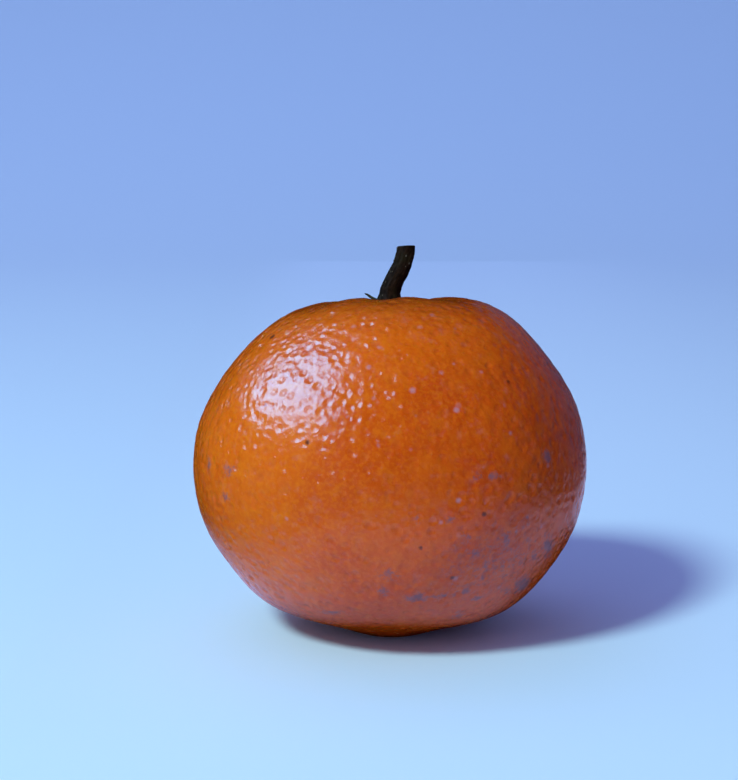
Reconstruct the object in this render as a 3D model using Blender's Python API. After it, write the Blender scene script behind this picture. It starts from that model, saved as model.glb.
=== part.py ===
"""An orange as picked, resting on its flat spot: the fruit, its calyx and a short cut stem.

Units are metres, +Z is up and +Y points away from the front. The origin lies on the surface that
the fruit rests on, straight below the middle of the fruit. The fruit's own axis runs from its
style end to its stem, and leans back a little from +Z, the way the fruit settles.
"""

import math

import bmesh
import bpy
from mathutils import Matrix, Vector, noise

# Fruit: a flattened ball with full shoulders, a dimple at the stem and a blunt style end.
WIDTH = 0.0750
DEPTH = 0.0738
BODY_HEIGHT = 0.0657
SHOULDER_RISE, SHOULDER_RADIUS, SHOULDER_WIDTH = 0.0018, 0.0215, 0.0095
DIMPLE_DEPTH, DIMPLE_RADIUS = 0.0031, 0.0080
HEEL_RISE, HEEL_RADIUS, HEEL_WIDTH = 0.0010, 0.0255, 0.0060
STYLE_HOLLOW, STYLE_RADIUS, STYLE_WIDTH = 0.0009, 0.0110, 0.0060
CROWN_SLOPE = 0.050  # the stem end stands higher on the right
STYLE_SLOPE = 0.024  # and the style end hangs lower there

# Furrows run out from the stem between low lobes, and fade before the widest part.
FURROWS = 7
FURROW_DEPTH, FURROW_RADIUS, FURROW_WIDTH = 0.0006, 0.0095, 0.0070
FURROW_TURN = math.radians(140)
FRONT_FURROW = 0.45  # the front furrows are deeper than the rest by this share
SWELLING, SWELLINGS = 0.0005, 2.2  # height and closeness of the slow unevenness of the skin

# How it rests.
LEAN_BACK = math.radians(10)
CENTRE_HEIGHT = 0.0315
GAP = 0.0003  # between pieces that touch

# Calyx: a five-pointed star that lines the dimple.
SEPALS = 5
CALYX_RADIUS, CALYX_NOTCH = 0.0048, 0.52  # the notches reach in to this share of the radius
CALYX_THICKNESS, SEPAL_THICKNESS = 0.0012, 0.0006
SEPAL_LIFT, LEFT_SEPAL_LIFT = 0.0006, 0.0010  # the left sepals curl up by both
SEPAL_TURN = math.radians(180)

# Stem: a bent stub, cut off above the shoulders.
STEM_RADIUS = 0.00165
STEM_LENGTH = 0.0096
STEM_BEND = 0.0031  # how far the cut end stands to the right of the foot
STEM_STRAIGHT = 0.10  # the foot's share of the length, which is straight
FOOT_FLARE, END_FLARE = 1.30, 1.12

# Fineness of the meshes.
FRUIT_SEGMENTS, FRUIT_RINGS = 64, 44
POLE_CROWDING = 0.22  # draws the rings together at both ends, where the skin bends most
CALYX_SEGMENTS, CALYX_RINGS = 60, 12
STEM_POINTS, STEM_SIDES = 12, 4
FOOT_SAMPLES = 24


def clear_scene():
    """Removes every object, so that the script starts from nothing."""
    for obj in list(bpy.data.objects):
        bpy.data.objects.remove(obj)


def bell(distance, width):
    """A smooth hump: 1 at distance 0, fading out over width."""
    return math.exp(-((distance / width) ** 2))


def crown_relief(x, y):
    """Height of the stem end's shoulders, dimple and furrows above the plain ball."""
    radius = math.hypot(x, y)
    azimuth = math.atan2(y, x)
    furrow = 0.5 - 0.5 * math.cos(FURROWS * azimuth + FURROW_TURN)
    furrow *= 1 - FRONT_FURROW * math.sin(azimuth)
    return (
        SHOULDER_RISE * bell(radius - SHOULDER_RADIUS, SHOULDER_WIDTH)
        - DIMPLE_DEPTH * bell(radius, DIMPLE_RADIUS)
        - FURROW_DEPTH * furrow * bell(radius - FURROW_RADIUS, FURROW_WIDTH)
        + CROWN_SLOPE * x
    )


def style_relief(x, y):
    """Depth of the style end's heel below the plain ball, less the shallow ring inside it."""
    radius = math.hypot(x, y)
    return (
        HEEL_RISE * bell(radius - HEEL_RADIUS, HEEL_WIDTH)
        - STYLE_HOLLOW * bell(radius - STYLE_RADIUS, STYLE_WIDTH)
        + STYLE_SLOPE * x
    )


def skin_point(direction):
    """The point of the skin that lies in a unit direction from the middle, in the fruit's axes."""
    point = Vector((direction.x * WIDTH, direction.y * DEPTH, direction.z * BODY_HEIGHT)) / 2
    if direction.z > 0:
        point.z += direction.z * crown_relief(point.x, point.y)
    else:
        point.z += direction.z * style_relief(point.x, point.y)
    return point + direction * SWELLING * noise.noise(direction * SWELLINGS)


def crown_point(x, y):
    """The point of the skin above (x, y) at the stem end, in the fruit's axes."""
    across, along = 2 * x / WIDTH, 2 * y / DEPTH
    return skin_point(Vector((across, along, math.sqrt(1 - across**2 - along**2))))


def crowded(direction):
    """Moves a unit direction towards the nearer pole, so that the rings stand closer there."""
    turn = math.acos(max(-1.0, min(1.0, direction.z)))
    wanted = turn - POLE_CROWDING * math.sin(2 * turn)
    flat = Vector((direction.x, direction.y, 0))
    if flat.length < 1e-6:
        return direction
    flat.normalize()
    return Vector((flat.x * math.sin(wanted), flat.y * math.sin(wanted), math.cos(wanted)))


def new_material(name, colour, roughness):
    """A Principled material of one colour."""
    material = bpy.data.materials.new(name)
    material.use_nodes = True
    shader = material.node_tree.nodes["Principled BSDF"]
    shader.inputs["Base Color"].default_value = (*colour, 1)
    shader.inputs["Roughness"].default_value = roughness
    shader.inputs["Metallic"].default_value = 0.0
    return material


def add_object(name, data, material, parent, collection):
    """Links a new object, with its material, under its parent."""
    obj = bpy.data.objects.new(name, data)
    data.materials.append(material)
    obj.parent = parent
    collection.objects.link(obj)
    return obj


def mesh_from(name, bm):
    """Turns a finished bmesh into a smooth mesh."""
    mesh = bpy.data.meshes.new(name)
    bm.to_mesh(mesh)
    bm.free()
    mesh.shade_smooth()
    return mesh


def fruit_mesh(place):
    """The fruit in its own axes, cut flat where it rests once it is moved by place."""
    bm = bmesh.new()
    bmesh.ops.create_uvsphere(bm, u_segments=FRUIT_SEGMENTS, v_segments=FRUIT_RINGS, radius=1)
    for vertex in bm.verts:
        vertex.co = skin_point(crowded(vertex.co.normalized()))
    to_fruit = place.inverted()
    down = to_fruit.to_3x3() @ Vector((0, 0, -1))
    cut = bmesh.ops.bisect_plane(
        bm,
        geom=bm.verts[:] + bm.edges[:] + bm.faces[:],
        dist=1e-6,
        plane_co=to_fruit.translation,
        plane_no=down,
        clear_outer=True,
    )
    rim = [item for item in cut["geom_cut"] if isinstance(item, bmesh.types.BMEdge)]
    bmesh.ops.edgeloop_fill(bm, edges=rim)
    bmesh.ops.recalc_face_normals(bm, faces=bm.faces)
    return mesh_from("fruit", bm)


def sepal_reach(azimuth):
    """How far the calyx reaches from the axis: five points with round notches between them."""
    point = abs(math.cos(SEPALS / 2 * (azimuth + SEPAL_TURN)))
    return CALYX_RADIUS * (CALYX_NOTCH + (1 - CALYX_NOTCH) * point**1.8)


def calyx_half_thickness(x, y):
    """Half of the calyx's thickness at (x, y): stout in the middle, thin at the points."""
    out = math.hypot(x, y) / CALYX_RADIUS
    return (CALYX_THICKNESS + (SEPAL_THICKNESS - CALYX_THICKNESS) * out) / 2

def calyx_middle(x, y):
    """Height of the calyx's middle layer at (x, y): it lines the dimple, and its points curl up."""
    out = math.hypot(x, y) / CALYX_RADIUS
    lift = SEPAL_LIFT + LEFT_SEPAL_LIFT * max(0.0, -math.cos(math.atan2(y, x)))
    return crown_point(x, y).z + 2 * GAP + calyx_half_thickness(x, y) + lift * out**3

def calyx_mesh():
    """The calyx in the fruit's axes: a ball pressed flat and drawn out into five points."""
    bm = bmesh.new()
    bmesh.ops.create_uvsphere(bm, u_segments=CALYX_SEGMENTS, v_segments=CALYX_RINGS, radius=1)
    for vertex in bm.verts:
        azimuth = math.atan2(vertex.co.y, vertex.co.x)
        reach = math.hypot(vertex.co.x, vertex.co.y) * sepal_reach(azimuth)
        x, y = reach * math.cos(azimuth), reach * math.sin(azimuth)
        height = calyx_middle(x, y) + calyx_half_thickness(x, y) * vertex.co.z
        vertex.co = Vector((x, y, height))
    return mesh_from("calyx", bm)

def stem_foot():
    """The lowest height at which the stem's whole foot stands clear of the calyx."""
    radius = FOOT_FLARE * STEM_RADIUS
    highest = 0.0
    for i in range(FOOT_SAMPLES):
        azimuth = math.tau * i / FOOT_SAMPLES
        x, y = radius * math.cos(azimuth), radius * math.sin(azimuth)
        highest = max(highest, calyx_middle(x, y) + calyx_half_thickness(x, y))
    return highest + GAP

def stem_curve():
    """The stem in the fruit's axes: a tapered stub that bows to the right, flared at both ends."""
    curve = bpy.data.curves.new("stem", "CURVE")
    curve.dimensions = "3D"
    curve.bevel_depth = STEM_RADIUS
    curve.bevel_resolution = STEM_SIDES
    curve.use_fill_caps = True
    foot = stem_foot()
    line = curve.splines.new("POLY")
    line.points.add(STEM_POINTS - 1)
    for i, point in enumerate(line.points):
        share = i / (STEM_POINTS - 1)
        bend = max(0.0, share - STEM_STRAIGHT) / (1 - STEM_STRAIGHT)
        bow = STEM_BEND * math.sin(bend * math.pi / 2) ** 1.2
        point.co = (bow, 0, foot + STEM_LENGTH * share, 1)
        point.radius = 1 + (FOOT_FLARE - 1) * bell(share, 0.22) + (END_FLARE - 1) * share**3
    return curve

def build():
    """Builds the orange and stands it on its flat spot."""
    clear_scene()
    orange = bpy.data.collections.new("orange")
    bpy.context.scene.collection.children.link(orange)
    place = Matrix.Translation((0, 0, CENTRE_HEIGHT)) @ Matrix.Rotation(-LEAN_BACK, 4, "X")
    axis = bpy.data.objects.new("fruit_axis", None)
    orange.objects.link(axis)
    axis.matrix_world = place
    peel = new_material("peel", (0.76, 0.19, 0.01), 0.38)
    sepal = new_material("sepal", (0.045, 0.040, 0.018), 0.75)
    bark = new_material("bark", (0.035, 0.024, 0.014), 0.80)
    add_object("fruit", fruit_mesh(place), peel, axis, orange)
    add_object("calyx", calyx_mesh(), sepal, axis, orange)
    add_object("stem", stem_curve(), bark, axis, orange)


if __name__ == "__main__":
    build()
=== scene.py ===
"""The looks of an orange as picked: its pitted peel, dry calyx and cut stem, on a pale floor."""

import functools
import logging
import math
import random
from dataclasses import dataclass, field
from enum import Enum

import bmesh
import bpy
import numpy as np
from mathutils import Matrix, Vector, noise
from mathutils.bvhtree import BVHTree
from mathutils.kdtree import KDTree


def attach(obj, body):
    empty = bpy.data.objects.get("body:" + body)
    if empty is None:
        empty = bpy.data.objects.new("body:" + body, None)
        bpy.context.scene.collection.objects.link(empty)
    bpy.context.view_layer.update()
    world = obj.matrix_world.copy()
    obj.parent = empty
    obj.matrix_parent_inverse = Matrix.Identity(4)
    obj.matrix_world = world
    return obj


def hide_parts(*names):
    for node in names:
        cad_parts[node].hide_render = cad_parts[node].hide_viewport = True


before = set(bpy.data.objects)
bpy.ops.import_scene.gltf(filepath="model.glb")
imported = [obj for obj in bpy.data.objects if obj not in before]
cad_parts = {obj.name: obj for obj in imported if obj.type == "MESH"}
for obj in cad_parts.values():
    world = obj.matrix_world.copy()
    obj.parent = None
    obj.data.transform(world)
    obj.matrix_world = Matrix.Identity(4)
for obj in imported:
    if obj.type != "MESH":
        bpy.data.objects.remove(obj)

logging.basicConfig(level=logging.INFO, format="%(message)s")
log = logging.getLogger("orange")

MM = 0.001

# Short names for types: a Span is two limits or two sizes, a Bearing is degrees to the right of
# the front and degrees up, and a Line is a centre line's heights, sideways places and radii.
Span = tuple[float, float]
Bearing = tuple[float, float]
Triple = tuple[float, float, float]
Colour = Triple
Line = tuple[np.ndarray, np.ndarray, np.ndarray]
Socket = bpy.types.NodeSocket
Material = bpy.types.Material
Piece = bpy.types.Object
BMesh = bmesh.types.BMesh


# ---- the fruit's own frame


@dataclass(frozen=True)
class FruitFrame:
    """Where the fruit's axis stands: it leans back about the middle of the fruit."""

    centre: Vector = field(default_factory=lambda: Vector((0, 0, 31.5 * MM)))
    lean_back: float = math.radians(10)

    def matrix(self) -> Matrix:
        """Turns a point in the fruit's axes into the model's frame."""
        return Matrix.Translation(self.centre) @ Matrix.Rotation(-self.lean_back, 4, "X")

    def own_axes(self, points: np.ndarray) -> np.ndarray:
        """Turns points in the model's frame into the fruit's axes."""
        inverse = np.array(self.matrix().inverted())
        return points @ inverse[:3, :3].T + inverse[:3, 3]

    def axis(self) -> Vector:
        """The unit direction from the style end to the stem."""
        return self.matrix().to_3x3() @ Vector((0, 0, 1))

    def direction(self, round_deg: float, up_deg: float) -> Vector:
        """A direction from the middle of the fruit.

        Args:
            round_deg: turn to the right from the front, about the vertical.
            up_deg: angle above the level plane.

        Returns:
            The unit direction in the model's frame.
        """
        turn, rise = math.radians(round_deg), math.radians(up_deg)
        level = math.cos(rise)
        return Vector((math.sin(turn) * level, -math.cos(turn) * level, math.sin(rise)))

    def facing(self, points: np.ndarray, towards: Bearing) -> np.ndarray:
        """How squarely points face a bearing: 1 straight towards it, -1 away from it."""
        outward = points - np.array(self.centre)
        outward /= np.linalg.norm(outward, axis=1)[:, None]
        return outward @ np.array(self.direction(*towards))


# ---- node building


class Shader:
    """A Principled material under construction, with short calls for the nodes it needs."""

    def __init__(self, name: str) -> None:
        """Starts an empty Principled material.

        Args:
            name: the material's name.
        """
        self.material = bpy.data.materials.new(name)
        self.material.use_nodes = True
        self.tree = self.material.node_tree
        self.surface = self.tree.nodes["Principled BSDF"]
        self.position = self.tree.nodes.new("ShaderNodeTexCoord").outputs["Object"]

    def dressed(self, **inputs: object) -> Material:
        """Fills the surface's own sockets, with _ for a space, and hands over the material."""
        for name, value in inputs.items():
            self.plug(self.surface.inputs[name.replace("_", " ")], value)
        return self.material

    def node(self, kind: str, **inputs: object) -> bpy.types.Node:
        """Adds a node and fills its inputs.

        Args:
            kind: the node's type, without its "ShaderNode" start.
            inputs: a value or a socket for each named input, with _ for a space.

        Returns:
            The new node.
        """
        made = self.tree.nodes.new("ShaderNode" + kind)
        for name, value in inputs.items():
            self.plug(made.inputs[name.replace("_", " ")], value)
        return made

    def plug(self, target: Socket, value: object) -> None:
        """Links a socket to an input, or sets the input's value."""
        if isinstance(value, Socket):
            self.tree.links.new(value, target)
        else:
            target.default_value = value

    def attribute(self, name: str) -> Socket:
        """Reads a float that the mesh holds at each vertex."""
        made = self.tree.nodes.new("ShaderNodeAttribute")
        made.attribute_name = name
        return made.outputs["Fac"]

    def noise(
        self, grain: float, detail: float = 3.0, roughness: float = 0.55, shift: float = 0.0
    ) -> Socket:
        """A noise from 0 to 1.

        Args:
            grain: size of its patches in metres.
            detail: how many finer layers it has.
            roughness: how strong the finer layers are.
            shift: moves the pattern, so that two layers differ.

        Returns:
            The noise's value socket.
        """
        place = self.position
        if shift:
            place = self.node("VectorMath", Vector=place).outputs[0]
            mover = place.node
            mover.operation = "ADD"
            mover.inputs[1].default_value = (shift, shift * 0.7, -shift * 1.3)
        return self.node(
            "TexNoise", Vector=place, Scale=1 / grain, Detail=detail, Roughness=roughness
        ).outputs["Fac"]

    def cells(self, spacing: float, randomness: float = 1.0) -> bpy.types.Node:
        """Scattered cells; the node's Distance is in units of the spacing."""
        return self.node(
            "TexVoronoi", Vector=self.position, Scale=1 / spacing, Randomness=randomness
        )

    def slope(
        self, value: Socket, low: float, high: float, start: float = 0.0, end: float = 1.0
    ) -> Socket:
        """Turns low to high into start to end in a straight line, and holds the rest."""
        return self.node(
            "MapRange", Value=value, From_Min=low, From_Max=high, To_Min=start, To_Max=end
        ).outputs["Result"]

    def ramp(
        self, value: Socket, low: float, high: float, start: float = 0.0, end: float = 1.0
    ) -> Socket:
        """A slope with soft ends."""
        eased = self.slope(value, low, high, start, end)
        eased.node.interpolation_type = "SMOOTHSTEP"
        return eased

    def patches(
        self, grain: float, low: float, high: float, *result: float, **pattern: float
    ) -> Socket:
        """A noise with its own pattern settings, ramped from low to high into the result."""
        return self.ramp(self.noise(grain, **pattern), low, high, *result)

    def maths(self, operation: str, *values: object) -> Socket:
        """One step of arithmetic on sockets and numbers."""
        made = self.tree.nodes.new("ShaderNodeMath")
        made.operation = operation
        for target, value in zip(made.inputs, values):
            self.plug(target, value)
        return made.outputs[0]

    def product(self, *values: object) -> Socket:
        """Multiplies sockets and numbers, one after another."""
        return functools.reduce(functools.partial(self.maths, "MULTIPLY"), values)

    def mix(self, share: object, first: object, second: object, blend: str = "MIX") -> Socket:
        """Mixes two colours.

        Args:
            share: how much of the second shows, from 0 to 1.
            first: the colour or socket underneath.
            second: the colour or socket on top.
            blend: the way that the second is laid on the first.

        Returns:
            The mixed colour's socket.
        """
        made = self.tree.nodes.new("ShaderNodeMix")
        made.data_type = "RGBA"
        made.blend_type = blend
        for slot, value in zip((0, 6, 7), (share, first, second)):
            self.plug(made.inputs[slot], (*value, 1) if isinstance(value, tuple) else value)
        return made.outputs[2]

    def layered(self, colour: object, *layers: tuple[object, object]) -> Socket:
        """Lays colours over a colour, each where its own mask shows."""
        for mask, tint in layers:
            colour = self.mix(mask, colour, tint)
        return colour

    def bump(
        self, height: Socket, metres: float, below: Socket | None = None, strength: object = 1.0
    ) -> Socket:
        """Raises the shading by a height.

        Args:
            height: the height's socket, from 0 to 1.
            metres: how far 1 stands above 0.
            below: a coarser bump's normal, which this one adds to.
            strength: the share of the bump that shows, or its socket.

        Returns:
            The normal's socket.
        """
        made = self.node("Bump", Height=height, Distance=metres, Strength=strength)
        if below is not None:
            self.tree.links.new(below, made.inputs["Normal"])
        return made.outputs["Normal"]


# ---- mesh helpers


def added(name: str, data: bpy.types.ID) -> Piece:
    """Puts a new object, with its data, in the scene."""
    made = bpy.data.objects.new(name, data)
    bpy.context.scene.collection.objects.link(made)
    return made


def finished(name: str, bm: BMesh, material: Material) -> Piece:
    """Turns a bmesh into a smooth object in the scene, with its material."""
    mesh = bpy.data.meshes.new(name)
    bm.to_mesh(mesh)
    bm.free()
    mesh.shade_smooth()
    mesh.materials.append(material)
    return added(name, mesh)


def write_values(piece: Piece, **values: np.ndarray) -> None:
    """Stores a float under each name for each vertex, for the material to read."""
    for name, numbers in values.items():
        attribute = piece.data.attributes.new(name, "FLOAT", "POINT")
        attribute.data.foreach_set("value", numbers.astype(np.float32))


def read_vectors(source: bpy.types.bpy_prop_collection, key: str) -> np.ndarray:
    """Reads a vector from each item of a mesh's list, one to a row."""
    values = np.empty(len(source) * 3, np.float32)
    source.foreach_get(key, values)
    return values.reshape(-1, 3).astype(float)


def waves(points: np.ndarray, width: float) -> np.ndarray:
    """A slow rise and fall from -1 to 1 at each point, in patches of about the width."""
    return np.array([noise.noise(Vector(point) / width) for point in points])


def smooth_step(values: np.ndarray) -> np.ndarray:
    """Eases 0 to 1 with no slope at either end, and holds the rest."""
    held = np.clip(values, 0, 1)
    return held * held * (3 - 2 * held)


def merged_node(name: str) -> BMesh:
    """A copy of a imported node's mesh with its loose triangles joined."""
    bm = bmesh.new()
    bm.from_mesh(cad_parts[name].data)
    bmesh.ops.remove_doubles(bm, verts=bm.verts, dist=1e-6)
    return bm


# ---- peel


@dataclass(frozen=True)
class GlandLayer:
    """A scatter of oil glands, each a round dent in the skin."""

    spacing: float
    radius: float
    depth: float
    seed: int
    jitter: float = 0.32
    variation: float = 0.22
    least_size: float = 0.45
    least_depth: float = 0.25


@dataclass(frozen=True)
class Scar:
    """A healed rub on the skin: a patch drawn out along a line, its sizes in millimetres."""

    round_deg: float
    up_deg: float
    length_mm: float
    width_mm: float
    tilt_deg: float = 0.0
    strength: float = 1.0


@dataclass(frozen=True)
class PeelFinish:
    """Waxy citrus peel: orange in several depths, with healed scars and pale specks."""

    deep: Colour = (0.62, 0.068, 0.0010)
    bright: Colour = (0.71, 0.096, 0.0014)
    golden: Colour = (0.77, 0.150, 0.003)
    gland: Colour = (0.54, 0.054, 0.001)
    crown: Colour = (0.43, 0.074, 0.003)
    scar: Colour = (0.225, 0.088, 0.108)
    speck: Colour = (0.51, 0.22, 0.24)
    fleck: Colour = (0.080, 0.014, 0.006)
    # The two side tints make the skin yellower on the left and redder on the right, as a riper
    # side. They also hold painted light, brighter on the lit left, and painted shade, darker on
    # the right away from the light.
    pale_lit_side: Colour = (1.0, 1.24, 1.22)
    ripe_side: Colour = (0.90, 0.73, 0.76)
    # Painted shade: this tint darkens the shoulders around the stem.
    shade: Colour = (0.64, 0.69, 0.74)
    roughness: Span = (0.20, 0.28)
    refraction: float = 1.40
    skin_shine: float = 0.25
    skin_relief: float = 0.32
    wax: float = 0.58
    wax_roughness: float = 0.165
    light_sinks: float = 0.12
    light_reach: Colour = (1.0, 0.30, 0.08)
    light_depth: float = 1.4 * MM

    def material(self) -> Material:
        """The peel's material, from values stored on its mesh and patterns in its own space."""
        shader = Shader("peel")
        colour, dull = self.colours(shader)
        return shader.dressed(
            Base_Color=colour,
            Roughness=dull,
            Normal=self.relief(shader, self.skin_relief),
            Coat_Normal=self.relief(shader, 1.0),
            IOR=self.refraction,
            Subsurface_Weight=self.light_sinks,
            Subsurface_Radius=self.light_reach,
            Subsurface_Scale=self.light_depth,
            Specular_IOR_Level=self.skin_shine,
            Coat_Weight=self.wax,
            Coat_Roughness=self.wax_roughness,
        )

    def colours(self, shader: Shader) -> tuple[Socket, Socket]:
        """Lays the skin's colours over each other.

        Args:
            shader: the material to add them to.

        Returns:
            The finished colour and the roughness.
        """
        pore = shader.attribute("pore")
        crown = shader.ramp(shader.attribute("crown"), 0.05, 1.0)
        streaks = shader.patches(1.8 * MM, 0.35, 0.65, 0.35, detail=4.0, shift=0.9)
        colour = shader.layered(
            self.deep,
            (shader.patches(17 * MM, 0.36, 0.66, detail=2.0), self.bright),
            (shader.patches(3.1 * MM, 0.45, 0.72, 0.0, 0.38, shift=0.3), self.golden),
            (shader.patches(0.75 * MM, 0.42, 0.66, 0.0, 0.42, shift=0.6), self.golden),
            (shader.product(pore, 0.30), self.gland),
            (shader.product(crown, streaks), self.crown),
        )
        # Yellower to redder from side to side, with painted light on the lit left and painted
        # shade on the right.
        ripeness = shader.mix(shader.attribute("ripe"), self.pale_lit_side, self.ripe_side)
        colour = shader.mix(1.0, colour, ripeness, "MULTIPLY")
        # Painted shade darkens the shoulders around the stem.
        colour = shader.mix(shader.attribute("shoulder"), colour, self.shade, "MULTIPLY")

        haze = shader.patches(
            2.3 * MM, 0.53, 0.78, 0.0, 0.17, detail=4.0, roughness=0.65, shift=1.1
        )
        specks = self.specks(shader, 3.7 * MM, 0.13, shader.attribute("weather"))
        marked = shader.attribute("scar")
        ragged = shader.noise(1.1 * MM, 4.0, 0.72, shift=1.4)
        ragged = shader.maths("MULTIPLY_ADD", ragged, 3.0, -1.5)
        scar = shader.ramp(shader.maths("MULTIPLY_ADD", marked, 0.80, ragged), 0.10, 1.05)
        scar = shader.product(scar, shader.ramp(marked, 0.04, 0.40))
        colour = shader.layered(
            colour,
            (haze, self.speck),
            (specks, self.speck),
            (shader.product(scar, 0.92), self.scar),
            (shader.ramp(shader.attribute("fleck"), 0.20, 0.75, 0.0, 0.9), self.fleck),
        )
        dull = shader.patches(6 * MM, 0.3, 0.7, *self.roughness, shift=2.0)
        dull = shader.maths("ADD", dull, shader.product(pore, 0.16))
        dull = shader.maths("ADD", dull, shader.product(scar, 0.28))
        return colour, dull

    def specks(self, shader: Shader, spacing: float, size: float, amount: Socket) -> Socket:
        """Small pale dots, one to a cell, in the share of the cells that amount gives.

        Args:
            shader: the material to add them to.
            spacing: the cells' usual distance.
            size: a dot's radius as a share of the spacing.
            amount: the share of cells with a dot.

        Returns:
            The dots' mask.
        """
        cells = shader.cells(spacing)
        chosen = shader.node("SeparateColor", Color=cells.outputs["Color"])
        here = shader.maths("LESS_THAN", chosen.outputs["Red"], amount)
        reach = shader.maths("MULTIPLY_ADD", chosen.outputs["Green"], size, size * 0.35)
        wobble = shader.product(shader.noise(0.5 * MM, 2.0, shift=3.0), size * 0.9)
        away = shader.maths("ADD", cells.outputs["Distance"], wobble)
        dots = shader.ramp(shader.maths("SUBTRACT", reach, away), -size * 0.9, size * 0.3)
        faint = shader.maths("MULTIPLY_ADD", chosen.outputs["Blue"], 0.55, 0.22)
        return shader.product(here, dots, faint)

    def relief(self, shader: Shader, share: float) -> Socket:
        """The skin's fine relief: small glands between the large ones, and a close grain.

        Args:
            shader: the material to add it to.
            share: how much of it shows; light that sinks into the skin hides most of it.

        Returns:
            The normal's socket.
        """
        strength = shader.product(shader.attribute("calm"), share)
        pits = shader.slope(shader.cells(2.2 * MM, 0.9).outputs["Distance"], 0.11, 0.42)
        normal = shader.bump(pits, 0.24 * MM, strength=strength)
        small_pits = shader.slope(shader.cells(1.15 * MM).outputs["Distance"], 0.05, 0.42)
        normal = shader.bump(small_pits, 0.045 * MM, normal, strength)
        pebbles = shader.noise(0.90 * MM, 3.0, shift=4.0)
        normal = shader.bump(pebbles, 0.125 * MM, normal, strength)
        return shader.bump(shader.noise(0.22 * MM, 2.0, shift=5.0), 0.010 * MM, normal, strength)


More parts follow.
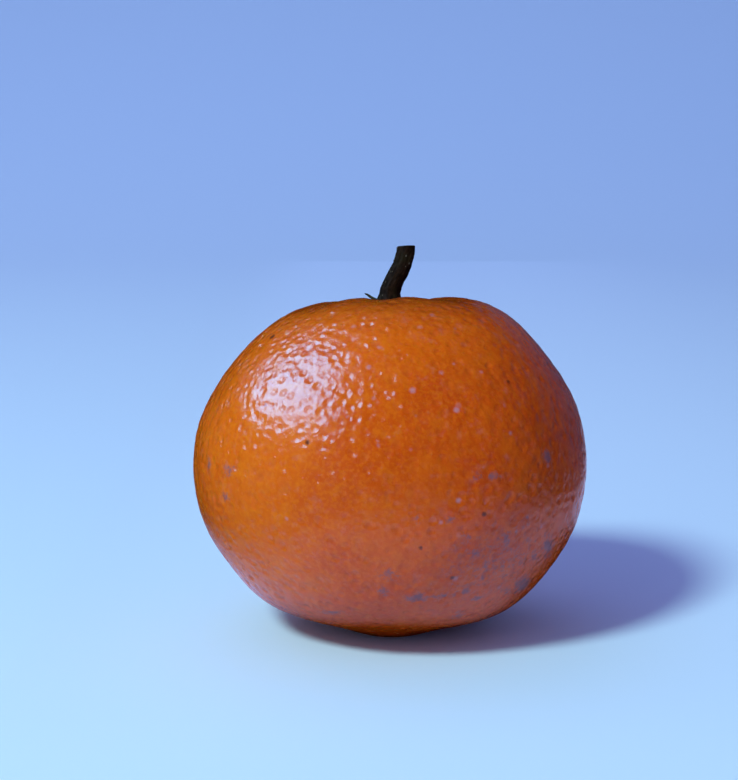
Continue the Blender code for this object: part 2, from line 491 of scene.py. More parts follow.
@dataclass
class Peel:
    """The whole skin of the fruit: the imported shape, smoothed and covered with oil glands."""

    place: FruitFrame
    finish: PeelFinish = field(default_factory=PeelFinish)
    cuts: int = 127
    rounding: int = 3
    smoothing: int = 14
    glands: tuple[GlandLayer, ...] = (
        GlandLayer(spacing=3.00 * MM, radius=0.80 * MM, depth=0.18 * MM, seed=3),
        GlandLayer(spacing=1.80 * MM, radius=0.62 * MM, depth=0.090 * MM, seed=8),
    )
    swell: tuple[Span, ...] = ((7.5 * MM, 0.10 * MM), (2.0 * MM, 0.090 * MM))
    full_pore: float = 0.19 * MM
    gland_ball: float = 36 * MM
    gland_packing: float = 0.866
    calm_least: float = 0.05
    calm_rise: Span = (0.5 * MM, 13 * MM)
    crown_flatness: float = 0.6
    dimple_radius: float = 3.5 * MM
    crown_radius: float = 9 * MM
    crown_creases: float = 0.16 * MM
    crease_count: float = 9.5
    crease_waver: float = 4 * MM
    crease_start: Span = (2.5 * MM, 3 * MM)
    # How far the painted shade on the shoulders reaches, and how softly it ends.
    shoulder_radius: float = 27 * MM
    shoulder_fade: float = 13 * MM
    # Towards the riper side, which also gets painted shade because it faces away from the light.
    ripe_towards: Bearing = (78, -35)
    sunny_towards: Bearing = (38, 38)
    rubbed_towards: Bearing = (40, -25)
    specked: float = 0.16
    sunny_specked: float = 0.60
    rubbed_specked: float = 0.22
    scar_rise: float = 0.04 * MM
    scar_reach: float = 4 * MM
    style_radius: float = 1.2 * MM
    style_depth: float = 0.2 * MM
    scars: tuple[Scar, ...] = tuple(
        Scar(*row)
        for row in (
            # degrees round and up, length and width in mm, tilt in degrees, strength
            (36, -20, 30, 20, 0, 0.40), (53, -31, 6.4, 3.4, 38, 1.30),
            (45, -32, 3.8, 1.7, 30, 0.90), (51, 10, 2.4, 2.1, 60, 1.15),
            (36, -12, 3.6, 2.0, 65, 1.10), (57, -18, 6.0, 2.8, 48, 1.20),
            (51, -20, 3.6, 1.7, 45, 0.85), (26, -15, 2.8, 1.9, 75, 1.00),
            (22, -9, 2.0, 1.2, 30, 0.80), (9, -30, 3.8, 2.0, 5, 1.25),
            (17, -30, 7.0, 1.0, 3, 0.95), (26, -29, 3.0, 1.6, 20, 1.00),
            (32, -33, 2.0, 1.4, 0, 0.95), (28, -41, 3.2, 2.4, 80, 0.90),
            (43, -7, 3.0, 1.3, 85, 0.80), (38, -22, 3.4, 2.4, 10, 0.75),
            (31, -25, 2.6, 1.8, 20, 0.70), (0, -21, 4.4, 2.6, 10, 0.65),
            (-2, -27, 2.6, 1.8, 70, 0.90), (-23, -39, 4.4, 1.8, -8, 0.95),
            (8, -4, 2.4, 1.2, 80, 0.65), (17, -4, 1.9, 1.4, 0, 0.80),
            (30, 7, 2.6, 1.8, -15, 0.75), (25, 8, 2.2, 1.6, 20, 0.65),
            (-52, 6, 2.8, 2.2, 0, 1.00), (-53, -2, 2.2, 1.7, 40, 1.00),
            (-63, 5, 3.0, 1.9, 80, 0.90), (104, 22, 4.6, 2.0, 15), (128, -18, 6.0, 1.8, -30, 1.1),
            (135, -12, 16, 12, 0, 0.35), (160, 6, 3.2, 2.2, 50, 0.9),
            (-150, 30, 4.4, 1.7, 20, 0.95), (-118, -12, 4.6, 2.1, -15, 1.1),
            (-172, -30, 5.6, 2.4, 5, 1.1),
        )
    )
    flecks: tuple[Triple, ...] = (
        # degrees round and up, radius in mm
        (-24, 17, 0.42), (20, -23, 0.42), (9, -12, 0.34), (27, -3, 0.44), (-68, 48, 0.60),
        (44, 33, 0.34), (118, 10, 0.40), (-140, -5, 0.40), (176, 40, 0.45),
    )
    form: BVHTree = field(init=False)

    def build(self) -> Piece:
        """Makes the peel, from its smooth form to its marks.

        Returns:
            The finished piece.
        """
        self.form = self.smooth_form()
        bm = self.fine_ball()
        for _ in range(self.smoothing):
            bmesh.ops.smooth_vert(
                bm, verts=bm.verts, factor=0.5, use_axis_x=True, use_axis_y=True, use_axis_z=True
            )
        piece = finished("peel", bm, self.finish.material())
        self.mark_and_dent(piece)
        return piece

    def smooth_form(self) -> BVHTree:
        """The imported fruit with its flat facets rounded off, for lines to be shot at."""
        bm = merged_node("fruit")
        bmesh.ops.join_triangles(
            bm, faces=bm.faces, angle_face_threshold=0.5, angle_shape_threshold=0.7
        )
        mesh = bpy.data.meshes.new("fruit_form")
        bm.to_mesh(mesh)
        bm.free()
        form = added("fruit_form", mesh)
        rounded = form.modifiers.new("rounded", "SUBSURF")
        rounded.levels = rounded.render_levels = self.rounding
        tree = BVHTree.FromObject(form, bpy.context.evaluated_depsgraph_get())
        bpy.data.objects.remove(form)
        bpy.data.meshes.remove(mesh)
        return tree

    def fine_ball(self) -> BMesh:
        """A ball of even squares, laid onto the fruit's form.

        Returns:
            The ball, with every corner on the form.
        """
        bm = bmesh.new()
        bmesh.ops.create_cube(bm, size=2)
        bmesh.ops.subdivide_edges(bm, edges=bm.edges, cuts=self.cuts, use_grid_fill=True)
        for corner in bm.verts:
            even = Vector(math.tan(share * math.pi / 4) for share in corner.co)
            corner.co = self.on_form(even.normalized())
        return bm

    def on_form(self, direction: Vector) -> Vector:
        """The point of the form that lies in a direction from the middle of the fruit."""
        return self.form.ray_cast(self.place.centre, direction)[0]

    def mark_and_dent(self, piece: Piece) -> None:
        """Dents the skin with its glands and stores where its marks are, and where painted shade
        darkens it.

        Args:
            piece: the smooth peel.
        """
        mesh = piece.data
        points = read_vectors(mesh.vertices, "co")
        normals = read_vectors(mesh.vertex_normals, "vector")
        count = len(points)
        tree = KDTree(count)
        for index, point in enumerate(points):
            tree.insert(point, index)
        tree.balance()

        crown = self.crown(points)
        least, (start, rise) = self.calm_least, self.calm_rise
        calm = least + (1 - least) * smooth_step((points[:, 2] - start) / rise)
        height, pore = self.dents(tree, crown, calm)
        height += self.swelling(points) * calm - self.creases(points, crown)
        scar = self.scar_values(points)
        height += self.scar_rise * scar
        fleck = self.fleck_values(tree, count)
        height -= self.style_dent(points)
        points += normals * height[:, None]
        points[:, 2] = np.maximum(points[:, 2], 0)
        mesh.vertices.foreach_set("co", points.astype(np.float32).ravel())
        mesh.update()
        write_values(
            piece,
            pore=pore,
            crown=crown,
            scar=scar,
            fleck=fleck,
            weather=self.weather(points),
            shoulder=self.shoulder(points),
            ripe=self.ripeness(points),
            calm=calm,
        )

    def dents(
        self, tree: KDTree, crown: np.ndarray, calm: np.ndarray
    ) -> tuple[np.ndarray, np.ndarray]:
        """Presses every gland into the skin.

        Args:
            tree: the skin's points.
            crown: nearness to the stem, where the glands are shallow.
            calm: the share of the relief that each point keeps.

        Returns:
            The height to add at each point, and how deep in a gland it lies from 0 to 1.
        """
        height, pore = np.zeros(len(crown)), np.zeros(len(crown))
        for layer in self.glands:
            chance = random.Random(layer.seed)
            for direction in self.scatter(layer, chance):
                size = 1 + layer.variation * chance.gauss(0, 1)
                deep = 1 + 1.6 * layer.variation * chance.gauss(0, 1)
                deep = max(layer.least_depth, deep)
                radius = layer.radius * max(layer.least_size, size)
                for _, index, distance in tree.find_range(self.on_form(direction), radius):
                    bowl = (1 - (distance / radius) ** 1.4) ** 1.5
                    height[index] = min(height[index], -layer.depth * deep * bowl)
                    pore[index] = max(pore[index], bowl * layer.depth * deep / self.full_pore)
        height *= (1 - self.crown_flatness * crown) * calm
        return height, np.minimum(pore, 1.0) * calm

    def scatter(self, layer: GlandLayer, chance: random.Random) -> list[Vector]:
        """Directions spread evenly over the fruit, each moved a little by chance.

        Args:
            layer: the glands to spread.
            chance: where the small moves come from.

        Returns:
            One unit direction for each gland.
        """
        reach = self.gland_ball
        count = int(4 * math.pi * reach**2 / (layer.spacing**2 * self.gland_packing))
        golden = math.pi * (3 - math.sqrt(5))
        loose = layer.jitter * layer.spacing / reach
        found = []
        for number in range(count):
            level = 1 - 2 * (number + 0.5) / count
            ring = math.sqrt(1 - level * level)
            turn = golden * number
            direction = Vector((ring * math.cos(turn), ring * math.sin(turn), level))
            direction += Vector(chance.gauss(0, loose) for _ in range(3))
            found.append(direction.normalized())
        return found

    def swelling(self, points: np.ndarray) -> np.ndarray:
        """The slow rise and fall of the skin between its glands."""
        height = np.zeros(len(points))
        for width, rise in self.swell:
            height += rise * waves(points, width)
        return height

    def axis_reach(self, points: np.ndarray) -> tuple[np.ndarray, np.ndarray, np.ndarray]:
        """Distance from the axis, turn about it and height along it, for each point."""
        x, y, height = self.place.own_axes(points).T
        return np.hypot(x, y), np.arctan2(y, x), height

    def crown(self, points: np.ndarray) -> np.ndarray:
        """Nearness to the stem: 1 in the dimple, fading to 0 at the crown's edge."""
        reach, _, height = self.axis_reach(points)
        fade = self.crown_radius - self.dimple_radius
        near = smooth_step(1 - (reach - self.dimple_radius) / fade)
        return np.where(height > 0, near, 0)

    def shoulder(self, points: np.ndarray) -> np.ndarray:
        """Painted shade on the shoulders: 1 around the dimple, fading to 0 down the sides."""
        reach, _, height = self.axis_reach(points)
        near = smooth_step((self.shoulder_radius - reach) / self.shoulder_fade)
        return np.where(height > 0, near, 0)

    def ripeness(self, points: np.ndarray) -> np.ndarray:
        """How far the skin leans to its riper side: 0 on the paler left, which also gets painted
        light, 1 on the redder right, which also gets painted shade.
        """
        return smooth_step(0.5 + 0.62 * self.place.facing(points, self.ripe_towards))

    def creases(self, points: np.ndarray, crown: np.ndarray) -> np.ndarray:
        """Depth of the fine creases that run into the dimple.

        Args:
            points: the skin's points.
            crown: nearness to the stem.

        Returns:
            How deep the crease is at each point.
        """
        reach, turn, _ = self.axis_reach(points)
        waver = waves(points, self.crease_waver)
        ridge = np.abs(np.sin(self.crease_count * turn + 2.2 * waver)) ** 0.8
        start, fade = self.crease_start
        inside = smooth_step((reach - start) / fade)
        return self.crown_creases * (1 - ridge) * crown * inside

    def style_dent(self, points: np.ndarray) -> np.ndarray:
        """Depth of the small scar at the style end."""
        reach, _, height = self.axis_reach(points)
        bowl = np.clip(1 - (reach / self.style_radius) ** 2, 0, 1) ** 1.5
        return np.where(height < 0, self.style_depth * bowl, 0)

    def scar_values(self, points: np.ndarray) -> np.ndarray:
        """How scarred each point is, from 0 to 1.

        Args:
            points: the skin's points.

        Returns:
            The strongest scar at each point.
        """
        found = np.zeros(len(points))
        for scar in self.scars:
            out = self.place.direction(scar.round_deg, scar.up_deg)
            middle = self.on_form(out)
            right = Vector((0, 0, 1)).cross(out).normalized()
            turn = Matrix.Rotation(-math.radians(scar.tilt_deg), 3, out)
            along, across = turn @ right, turn @ out.cross(right)
            offset = points - np.array(middle)
            far = (offset @ np.array(along) / (scar.length_mm * MM) * 2) ** 2
            wide = (offset @ np.array(across) / (scar.width_mm * MM) * 2) ** 2
            deep = (offset @ np.array(out) / self.scar_reach) ** 2
            found = np.maximum(found, scar.strength * np.exp(-0.8 * (far + wide + deep)))
        reach, _, height = self.axis_reach(points)
        button = np.where(height < 0, smooth_step(2.2 - 2.2 * reach / self.style_radius), 0)
        return np.maximum(found, button)

    def fleck_values(self, tree: KDTree, count: int) -> np.ndarray:
        """Where the few small dark flecks lie, from 0 to 1.

        Args:
            tree: the skin's points.
            count: how many points the skin has.

        Returns:
            How much of a fleck lies at each point.
        """
        found = np.zeros(count)
        for round_deg, up_deg, radius_mm in self.flecks:
            middle = self.on_form(self.place.direction(round_deg, up_deg))
            reach = 2 * (radius_mm * MM)
            for _, index, distance in tree.find_range(middle, reach):
                found[index] = max(found[index], 1 - distance / reach)
        return found

    def weather(self, points: np.ndarray) -> np.ndarray:
        """The share of the skin's cells that hold a pale speck: most on the sunny upper right."""
        sunny = smooth_step((self.place.facing(points, self.sunny_towards) - 0.45) / 0.5)
        rubbed = smooth_step((self.place.facing(points, self.rubbed_towards) - 0.6) / 0.35)
        return self.specked + self.sunny_specked * sunny + self.rubbed_specked * rubbed


# ---- calyx


@dataclass(frozen=True)
class SepalFinish:
    """Dry sepals: dark olive brown, paler along the ribs and scorched at the edges."""

    dark: Colour = (0.014, 0.011, 0.006)
    olive: Colour = (0.050, 0.044, 0.018)
    rib: Colour = (0.085, 0.066, 0.034)
    edge: Colour = (0.012, 0.008, 0.005)
    roughness: Span = (0.58, 0.82)
    shine: float = 0.06

    def material(self) -> Material:
        """The sepals' material."""
        shader = Shader("sepal")
        fibres = shader.patches(0.28 * MM, 0.42, 0.70, 0.0, 0.55, roughness=0.7, shift=0.8)
        colour = shader.layered(
            self.dark,
            (shader.patches(1.1 * MM, 0.35, 0.68, detail=4.0), self.olive),
            (fibres, self.rib),
            (shader.product(shader.attribute("rib"), 0.7), self.rib),
            (shader.ramp(shader.attribute("rim"), 0.55, 1.0), self.edge),
        )
        dull = shader.patches(0.9 * MM, 0.3, 0.7, *self.roughness, detail=2.0, shift=2.0)
        normal = shader.bump(shader.noise(0.45 * MM, 4.0, 0.65, shift=3.0), 0.09 * MM)
        normal = shader.bump(shader.noise(0.12 * MM, 2.0, shift=4.0), 0.02 * MM, normal)
        return shader.dressed(
            Base_Color=colour, Roughness=dull, Normal=normal, Specular_IOR_Level=self.shine
        )


@dataclass
class Calyx:
    """The star of five dry sepals around the stem's foot."""

    place: FruitFrame
    skin: BVHTree
    finish: SepalFinish = field(default_factory=SepalFinish)
    sepals: int = 5
    segments: int = 240
    rings: int = 36
    radius: float = 4.75 * MM
    notch: float = 0.46
    reaches: tuple[float, ...] = (0.97, 0.86, 1.0, 0.90, 0.95)
    lifts: tuple[float, ...] = (1.95 * MM, 0.25 * MM, 0.30 * MM, 0.70 * MM, 1.05 * MM)
    gap: float = 0.06 * MM
    collar: float = 0.62 * MM
    blade: float = 0.36 * MM
    collar_radius: float = 2.2 * MM
    rib_height: float = 0.13 * MM
    rib_width: float = 0.22 * MM
    side_rib_place: float = 0.55 * MM
    side_rib_width: float = 0.14 * MM
    wrinkle: float = 0.10 * MM
    trough: float = 0.35 * MM
    above_skin: float = 60 * MM

    def build(self) -> Piece:
        """Makes the star from a ball that is pressed flat and drawn out into points.

        Returns:
            The finished piece.
        """
        bm = bmesh.new()
        bmesh.ops.create_uvsphere(bm, u_segments=self.segments, v_segments=self.rings, radius=1)
        placing = self.place.matrix()
        rib, rim = [], []
        for corner in bm.verts:
            share = math.hypot(corner.co.x, corner.co.y)
            turn = math.atan2(corner.co.y, corner.co.x)
            shaped, ribbed = self.shaped(share, turn, corner.co.z)
            corner.co = placing @ shaped
            rib.append(ribbed)
            rim.append(share**6)
        piece = finished("calyx_star", bm, self.finish.material())
        write_values(piece, rib=np.array(rib), rim=np.array(rim))
        return piece

    def shaped(self, share: float, turn: float, side: float) -> tuple[Vector, float]:
        """Places one corner of the pressed ball.

        Args:
            share: how far out the corner lies, from 0 to 1.
            turn: its turn about the axis.
            side: 1 at the top of the ball, -1 at the bottom.

        Returns:
            The place in the fruit's axes, and how much of a rib it lies on.
        """
        part = (turn + math.pi) / math.tau * self.sepals
        nearest = round(part)
        aside = part - nearest
        number = nearest % self.sepals
        point = 1 - 2 * abs(aside)
        ragged = 1 + 0.05 * noise.noise(Vector((9 * math.cos(turn), 9 * math.sin(turn), 0.4)))
        length = self.reaches[number] * point**1.5
        reach = share * self.radius * ragged * (self.notch + (1 - self.notch) * length)
        x, y = reach * math.cos(turn), reach * math.sin(turn)
        out = reach / self.radius

        across = reach * math.sin(aside * math.tau / self.sepals)
        rib = math.exp(-((across / self.rib_width) ** 2)) * min(1.0, 2.2 * out)
        beside = (abs(across) - self.side_rib_place) / self.side_rib_width
        rib += 0.45 * math.exp(-(beside**2)) * out
        curl = self.lifts[number] * max(0.0, out - 0.12) ** 1.25 / 0.85
        curl += self.trough * (across / MM) ** 2 * out * 0.25
        waver = noise.noise(Vector((x, y, 0)) / (1.3 * MM))
        waver += 0.5 * noise.noise(Vector((x, y, 3 * MM)) / (0.5 * MM))
        thicker = math.exp(-((reach / self.collar_radius) ** 4))
        body = self.blade + (self.collar - self.blade) * thicker
        body *= 0.35 + 0.65 * min(1.0, (1 - share**8) * 1.3)
        height = self.skin_height(x, y) + self.gap + curl
        height += body * (1 + side) + self.wrinkle * waver * min(1.0, 1.6 * out)
        if side > 0:
            height += self.rib_height * rib
        return Vector((x, y, height)), min(1.0, rib)

    def skin_height(self, x: float, y: float) -> float:
        """Height of the peel above (x, y) in the fruit's axes."""
        placing = self.place.matrix()
        start = placing @ Vector((x, y, self.above_skin))
        hit = self.skin.ray_cast(start, -self.place.axis())[0]
        return (placing.inverted() @ hit).z


# ---- stem


@dataclass(frozen=True)
class BarkFinish:
    """Thin dark bark, split lengthwise, with a pale cut end."""

    furrow: Colour = (0.007, 0.0032, 0.0016)
    ridge: Colour = (0.022, 0.0095, 0.0044)
    green: Colour = (0.018, 0.012, 0.0040)
    pore: Colour = (0.100, 0.078, 0.052)
    inner_bark: Colour = (0.130, 0.120, 0.035)
    wood: Colour = (0.470, 0.340, 0.180)
    old_wood: Colour = (0.290, 0.190, 0.095)
    pith: Colour = (0.560, 0.470, 0.320)
    roughness: Span = (0.84, 0.62)
    shine: float = 0.03

    def material(self) -> Material:
        """The stem's material."""
        shader = Shader("bark")
        along = shader.product(shader.attribute("along"), 3.2)
        place = shader.node(
            "CombineXYZ", X=shader.attribute("side_x"), Y=shader.attribute("side_y"), Z=along
        ).outputs["Vector"]
        strands = shader.node(
            "TexNoise", Vector=place, Scale=3.2, Detail=5.0, Roughness=0.62
        ).outputs["Fac"]
        inward = shader.attribute("inward")
        grain = shader.patches(0.35 * MM, 0.35, 0.65, detail=4.0, roughness=0.7, shift=2.0)
        wood = shader.layered(
            self.old_wood, (grain, self.wood), (shader.ramp(inward, 0.80, 0.88), self.pith)
        )
        wood = shader.mix(shader.ramp(inward, 0.16, 0.22), self.inner_bark, wood)
        colour = shader.layered(
            self.furrow,
            (shader.ramp(strands, 0.36, 0.62), self.ridge),
            (shader.patches(2.4 * MM, 0.45, 0.70, 0.0, 0.6, detail=2.0, shift=1.0), self.green),
            (shader.ramp(shader.attribute("lenticel"), 0.45, 0.8), self.pore),
            (shader.ramp(inward, 0.05, 0.09), wood),
        )
        normal = shader.bump(strands, 0.10 * MM)
        normal = shader.bump(shader.noise(0.14 * MM, 3.0, shift=3.0), 0.02 * MM, normal)
        dull = shader.ramp(strands, 0.35, 0.65, *self.roughness)
        return shader.dressed(
            Base_Color=colour, Roughness=dull, Normal=normal, Specular_IOR_Level=self.shine
        )


@dataclass
class Stem:
    """The short stub of twig that stays on the fruit, clipped off square."""

    place: FruitFrame
    foot_drop: float = 0.75 * MM
    finish: BarkFinish = field(default_factory=BarkFinish)
    sides: int = 84
    rows: int = 96
    face_rings: int = 12
    foot_rings: int = 4
    ridges: float = 0.12 * MM
    knots: float = 0.10 * MM
    cut_tilt: float = math.radians(7)
    face_share: float = 0.90
    bend_reach: float = 0.8 * MM
    slice_reach: float = 0.9 * MM
    usual_radius: float = 1.65 * MM
    full_ridges: float = 1.7 * MM
    flare: float = 0.16
    dish: float = 0.10 * MM
    pith_drop: float = 0.12 * MM
    pith_edge: float = 0.85
    lenticels: int = 26
    lenticel_seed: int = 12
    lenticel_rise: float = 0.07 * MM
    saw_marks: float = 0.035 * MM
    foot: float = field(init=False, default=0.0)

    def build(self) -> Piece:
        """Spins the stem's outline, bends it along its line and splits its bark.

        Returns:
            The finished piece.
        """
        self.foot = self.foot_level()
        line = self.centre_line()
        bm = bmesh.new()
        outline = self.outline(line)
        inward_layer = bm.verts.layers.float.new("inward")
        corners = [bm.verts.new((radius, 0, level)) for radius, level, _ in outline]
        edges = [bm.edges.new(pair) for pair in zip(corners, corners[1:])]
        for corner, (_, _, inward) in zip(corners, outline):
            corner[inward_layer] = inward
        around = {"axis": (0, 0, 1), "cent": (0, 0, 0), "angle": math.tau, "steps": self.sides}
        bmesh.ops.spin(bm, geom=corners + edges, use_merge=True, **around)
        bmesh.ops.remove_doubles(bm, verts=bm.verts, dist=1e-7)
        bmesh.ops.recalc_face_normals(bm, faces=bm.faces)
        names = ("along", "side_x", "side_y", "inward", "lenticel")
        rows = []
        spots = self.scatter_lenticels()
        for corner in bm.verts:
            turn = math.atan2(corner.co.y, corner.co.x)
            level, inward = corner.co.z, corner[inward_layer]
            spot = self.lenticel(spots, turn, level)
            raised = spot if inward == 0 else 0.0
            rows.append((level / (10 * MM), math.cos(turn), math.sin(turn), inward, raised))
            corner.co = self.bent(line, corner.co, turn, inward, spot)
        bm.verts.layers.float.remove(inward_layer)
        piece = finished("stem_stub", bm, self.finish.material())
        write_values(piece, **dict(zip(names, np.array(rows).T)))
        return piece

    def centre_line(self) -> Line:
        """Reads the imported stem's line.

        Returns:
            Its heights, sideways places and radii in the fruit's axes.
        """
        points = np.array([corner.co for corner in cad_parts["stem"].data.vertices])
        own = self.place.own_axes(points)
        levels = np.linspace(own[:, 2].min(), own[:, 2].max(), 9)
        centres, radii = [], []
        for level in levels:
            near = own[np.abs(own[:, 2] - level) < self.slice_reach]
            middle = (near[:, :2].min(0) + near[:, :2].max(0)) / 2
            centres.append(middle)
            radii.append(np.hypot(*(near[:, :2] - middle).T).mean())
        return levels - levels[0], np.array(centres), np.array(radii)

    def outline(self, line: Line) -> list[Triple]:
        """Half of the stem's section, from the middle of its foot to the middle of its cut end.

        Args:
            line: the stem's centre line.

        Returns:
            Radius, level and distance inward on the cut end, for each corner.
        """
        length, radii = line[0][-1], line[2]
        found = []
        for ring in range(self.foot_rings):
            found.append((radii[0] * ring / self.foot_rings, -self.foot_drop, 0.0))
        for row in range(self.rows):
            share = row / (self.rows - 1)
            level = -self.foot_drop + share * (length + self.foot_drop)
            radius = float(np.interp(level, line[0], radii))
            flare = self.flare * math.exp(-((share / 0.07) ** 2))
            chamfer = (1 - self.face_share) * max(0.0, share - 0.985) / 0.015
            found.append((radius * (1 + flare - chamfer), level, 0.0))
        for ring in range(1, self.face_rings + 1):
            inward = ring / self.face_rings
            drop = self.dish * float(smooth_step(np.array(inward * 4)))
            drop += self.pith_drop * (inward > self.pith_edge)
            radius = radii[-1] * self.face_share * (1 - inward)
            found.append((radius, length - drop, inward))
        return found

    def scatter_lenticels(self) -> list[Triple]:
        """Turn, level and size of each raised pore in the bark."""
        draw = random.Random(self.lenticel_seed).uniform
        return [
            (draw(-math.pi, math.pi), draw(0, 9.6 * MM), draw(0.10, 0.20) * MM)
            for _ in range(self.lenticels)
        ]

    def lenticel(self, spots: list[Triple], turn: float, level: float) -> float:
        """How much of a raised pore lies at a place on the bark.

        Args:
            spots: turn, level and size of each pore.
            turn: the place's turn about the stem.
            level: the place's height above the foot.

        Returns:
            The strongest pore there, from 0 to 1.
        """
        found = 0.0
        for spot_turn, spot_level, size in spots:
            aside = math.remainder(turn - spot_turn, math.tau) * self.usual_radius / size
            above = (level - spot_level) / (1.7 * size)
            found = max(found, math.exp(-(aside * aside + above * above)))
        return found

    def bent(self, line: Line, corner: Vector, turn: float, inward: float, spot: float) -> Vector:
        """Moves a corner of the straight stem to its place.

        Args:
            line: the stem's centre line.
            corner: the corner on the straight stem.
            turn: the corner's turn about the stem.
            inward: distance inward on the cut end, 0 on the bark.
            spot: how much of a lenticel lies there.

        Returns:
            The place in the model's frame.
        """
        heights, centres, _ = line
        level, radius = corner.z, math.hypot(corner.x, corner.y)
        round_place = Vector((math.cos(turn), math.sin(turn), 0))
        strands = noise.noise(round_place * 2.6 + Vector((0, 0, level / (5.5 * MM))))
        strands += 0.6 * noise.noise(round_place * 5.5 + Vector((0, 0, level / (3.0 * MM) + 7)))
        lumps = noise.noise(round_place * 0.9 + Vector((0, 0, level / (2.6 * MM) + 3)))
        share = radius / self.full_ridges
        radius += (self.ridges * strands + self.knots * lumps) * min(1.0, share)
        lift = 0.0
        if inward == 0:
            radius += self.lenticel_rise * spot
        else:
            grain = noise.noise(Vector((corner.x, corner.y, 0)) / (0.4 * MM))
            lift = self.saw_marks * grain
        low, high = level - self.bend_reach, level + self.bend_reach
        middle, behind, ahead = (
            Vector([float(np.interp(there, heights, side)) for side in centres.T]).to_3d()
            for there in (level, low, high)
        )
        span = min(high, heights[-1]) - max(low, 0.0)
        slope = (ahead - behind) / max(span, 0.5 * MM)
        tangent = (slope + Vector((0, 0, 1))).normalized()
        near_cut = smooth_step(np.array((level / heights[-1] - 0.8) / 0.2))
        across = round_place * radius
        tilt = Vector((0, 0, 1)).rotation_difference(tangent).to_matrix() @ across
        tilt.z += float(near_cut) * math.tan(self.cut_tilt) * across.x
        placed = middle + Vector((0, 0, self.foot + level + lift)) + tilt
        return self.place.matrix() @ placed

    def foot_level(self) -> float:
        """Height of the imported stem's lowest point in the fruit's axes."""
        inverse = self.place.matrix().inverted()
        return min((inverse @ corner.co).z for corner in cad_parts["stem"].data.vertices)


# ---- studio


class LightUse(Enum):
    """What a studio light is for."""

    BRIGHTNESS = "brightness"
    SHINE = "shine"


@dataclass(frozen=True)
class SoftLight:
    """An oval soft light that faces the fruit."""

    name: str
    use: LightUse
    towards: Triple
    distance: float
    size: Span
    radiance: float
    colour: Colour

    def place(self, target: Vector) -> None:
        """Hangs the light so that it faces the target."""
        data = bpy.data.lights.new(self.name, "AREA")
        data.shape = "ELLIPSE"
        data.size, data.size_y = self.size
        data.energy = self.radiance * math.pi * math.pi * self.size[0] * self.size[1] / 4
        data.color = self.colour
        lamp = added(self.name, data)
        direction = Vector(self.towards).normalized()
        lamp.location = target + direction * self.distance
        lamp.rotation_euler = direction.to_track_quat("Z", "Y").to_euler()
        lamp.visible_camera = False
        lamp.visible_diffuse = self.use is LightUse.BRIGHTNESS
        lamp.visible_glossy = self.use is LightUse.SHINE


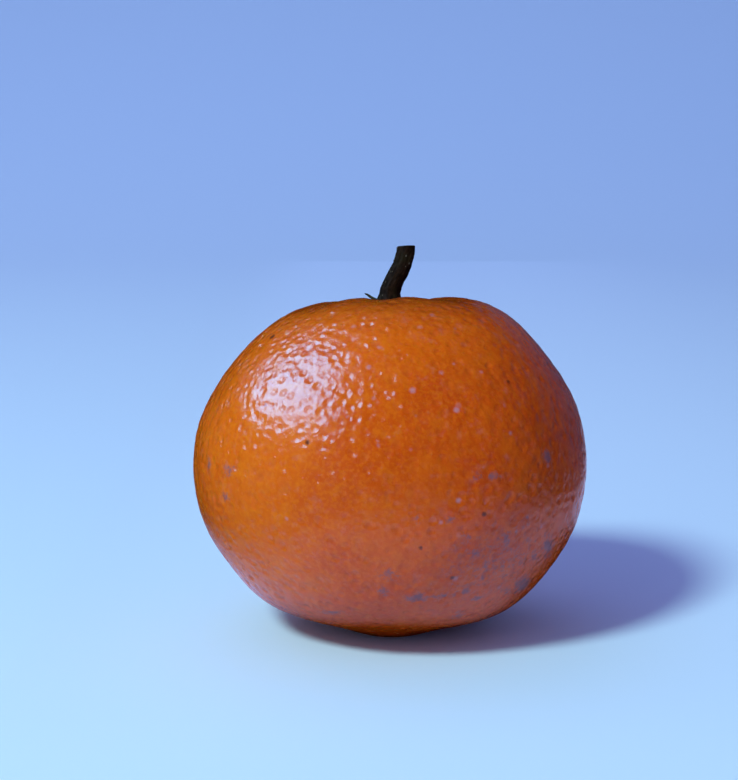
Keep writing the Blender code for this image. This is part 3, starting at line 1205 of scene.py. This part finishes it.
@dataclass(frozen=True)
class Studio:
    """A pale floor that curves up far behind, its soft shine, the lights and the camera."""

    target: Vector
    floor_colour: Colour = (0.650, 0.840, 0.925)
    floor_width: float = 4.0
    floor_front: float = 6.0
    floor_back: float = 2.2
    floor_drop: float = 0.02 * MM
    rise: float = 1.6
    bends: int = 400
    far_glow: Colour = (0.04, 0.30, 1.0)
    far_glow_start: Span = (0.1, 1.1)
    far_glow_strength: float = 0.11
    card_colour: Colour = (0.54, 0.57, 1.02)
    card_left: Span = (-68 * MM, -28 * MM)
    card_right: Span = (40 * MM, 150 * MM)
    card_front: Span = (-116 * MM, -68 * MM)
    contact_edge: Span = (14 * MM, 33 * MM)
    shadow_middle: Span = (22 * MM, 32 * MM)
    shadow_edge: Span = (31 * MM, 60 * MM)
    sky: Colour = (0.40, 0.38, 0.92)
    sky_strength: float = 0.44
    camera_distance: float = 420 * MM
    camera_rise: float = math.radians(12)
    lens: float = 101.7
    sensor: float = 36
    aim_left: float = 3.9 * MM
    aim_up: float = 14.2 * MM
    lights: tuple[SoftLight, ...] = (
        SoftLight(
            "window", LightUse.BRIGHTNESS, (-0.47, -0.58, 0.67), 1.30, (0.26, 0.26),
            86.0, (0.73, 1.0, 1.08),
        ),
        SoftLight(
            "window_shine", LightUse.SHINE, (-0.700, -0.085, 0.709), 0.70, (0.78, 0.42),
            15.8, (0.13, 0.61, 1.05),
        ),
        SoftLight(
            "back_shine", LightUse.SHINE, (0.58, 0.81, 0.06), 0.80, (0.90, 0.70),
            0.16, (0.45, 0.45, 1.0),
        ),
        SoftLight(
            "front_fill", LightUse.BRIGHTNESS, (-0.60, -0.74, 0.30), 0.80, (0.60, 0.60),
            0.7, (0.76, 0.96, 1.07),
        ),
        SoftLight(
            "overhead", LightUse.BRIGHTNESS, (-0.30, 0.50, 0.82), 1.20, (1.20, 1.20),
            0.7, (0.39, 0.44, 1.0),
        ),
    )

    def build(self) -> None:
        """Lays the floor, hangs the lights and stands the camera."""
        self.lay_floor()
        for light in self.lights:
            light.place(self.target)
            log.info("light %s", light.name)
        self.light_sky()
        self.stand_camera()
        bpy.context.scene.view_settings.view_transform = "Standard"

    def lay_floor(self) -> None:
        """The floor, swept up at the back, and the card that stands in for it in the shine."""
        half = self.floor_width / 2
        span = (-self.floor_front, self.floor_back + self.rise)
        floor = self.sheet("floor", (-half, half), span, self.paper())
        floor.data.transform(Matrix.Translation((0, 0, -self.floor_drop)))
        floor.visible_glossy = False
        across = (self.card_left[0], self.card_right[1])
        span = (self.card_front[0], self.floor_back - self.rise)
        card = self.sheet("shine_card", across, span, self.card_glow())
        card.visible_camera = card.visible_diffuse = card.visible_shadow = False

    def paper(self) -> Material:
        """Matt paper, which glows a little far behind the fruit, where the lights are weak."""
        shader = Shader("paper")
        back = shader.node("SeparateXYZ", Vector=shader.position).outputs["Y"]
        return shader.dressed(
            Base_Color=(*self.floor_colour, 1),
            Roughness=0.85,
            Specular_IOR_Level=0.2,
            Emission_Color=(*self.far_glow, 1),
            Emission_Strength=shader.ramp(back, *self.far_glow_start, 0.0, self.far_glow_strength),
        )

    def card_glow(self) -> Material:
        """The card's glow: it fades at its sides and front, below the fruit and in its shadow."""
        shader = Shader("card")
        place = shader.node("SeparateXYZ", Vector=shader.position).outputs
        glow = shader.product(
            self.away_from(shader, (0, 0), self.contact_edge),
            self.away_from(shader, self.shadow_middle, self.shadow_edge),
            shader.ramp(place["X"], *self.card_left),
            shader.ramp(place["X"], *self.card_right, 1.0, 0.0),
            shader.ramp(place["Y"], *self.card_front),
        )
        return shader.dressed(
            Base_Color=(0, 0, 0, 1),
            Specular_IOR_Level=0.0,
            Emission_Color=(*self.card_colour, 1),
            Emission_Strength=glow,
        )

    def away_from(self, shader: Shader, middle: Span, edge: Span) -> Socket:
        """A round dark spot: 0 inside the edge's first radius, 1 past its second."""
        reach = shader.node("VectorMath", Vector=shader.position)
        reach.operation = "DISTANCE"
        reach.inputs[1].default_value = (*middle, 0)
        return shader.ramp(reach.outputs["Value"], *edge)

    def sheet(self, name: str, across: Span, span: Span, material: Material) -> Piece:
        """A long sheet: flat, and curved up where it reaches the back.

        Args:
            name: the sheet's name.
            across: its left and right edges.
            span: where it starts and ends, along the sheet from the fruit.
            material: its material.

        Returns:
            The sheet.
        """
        bm = bmesh.new()
        bmesh.ops.create_grid(bm, x_segments=2, y_segments=self.bends, size=1)
        flat_end = self.floor_back - self.rise
        for corner in bm.verts:
            along = span[0] + (corner.co.y + 1) / 2 * (span[1] - span[0])
            bend = min(max((along - self.floor_back + self.rise) / self.rise, 0.0), math.pi / 2)
            back = min(along, flat_end) + self.rise * math.sin(bend)
            side = across[0] + (corner.co.x + 1) / 2 * (across[1] - across[0])
            corner.co = Vector((side, back, self.rise * (1 - math.cos(bend))))
        return finished(name, bm, material)

    def light_sky(self) -> None:
        """An even pale light from all around."""
        world = bpy.data.worlds.new("sky")
        bpy.context.scene.world = world
        world.use_nodes = True
        background = world.node_tree.nodes["Background"]
        background.inputs["Color"].default_value = (*self.sky, 1)
        background.inputs["Strength"].default_value = self.sky_strength
        world.cycles_visibility.glossy = False

    def stand_camera(self) -> None:
        """The camera, a little above the fruit and straight in front."""
        data = bpy.data.cameras.new("camera")
        data.lens = self.lens
        data.sensor_width = self.sensor
        data.clip_start = 0.01
        camera = added("camera", data)
        away = Vector((0, -math.cos(self.camera_rise), math.sin(self.camera_rise)))
        up = Vector((0, math.sin(self.camera_rise), math.cos(self.camera_rise)))
        camera.location = self.target + away * self.camera_distance
        aim = self.target + up * self.aim_up - Vector((self.aim_left, 0, 0))
        camera.rotation_euler = (camera.location - aim).to_track_quat("Z", "Y").to_euler()
        bpy.context.scene.camera = camera


# ---- the whole orange


def join_up(piece: Piece, node: str) -> None:
    """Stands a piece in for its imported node.

    Args:
        piece: the finished piece.
        node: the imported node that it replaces.
    """
    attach(piece, "root")
    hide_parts(node)
    piece.data.calc_loop_triangles()
    log.info("%s: %d triangles", piece.name, len(piece.data.loop_triangles))


def main() -> None:
    """Builds the orange in order, then its studio."""
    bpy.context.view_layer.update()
    place = FruitFrame()
    peel = Peel(place).build()
    join_up(peel, "fruit")
    skin = BVHTree.FromObject(peel, bpy.context.evaluated_depsgraph_get())
    join_up(Calyx(place, skin).build(), "calyx")
    join_up(Stem(place).build(), "stem")
    Studio(place.centre).build()


if __name__ == "__main__":
    main()
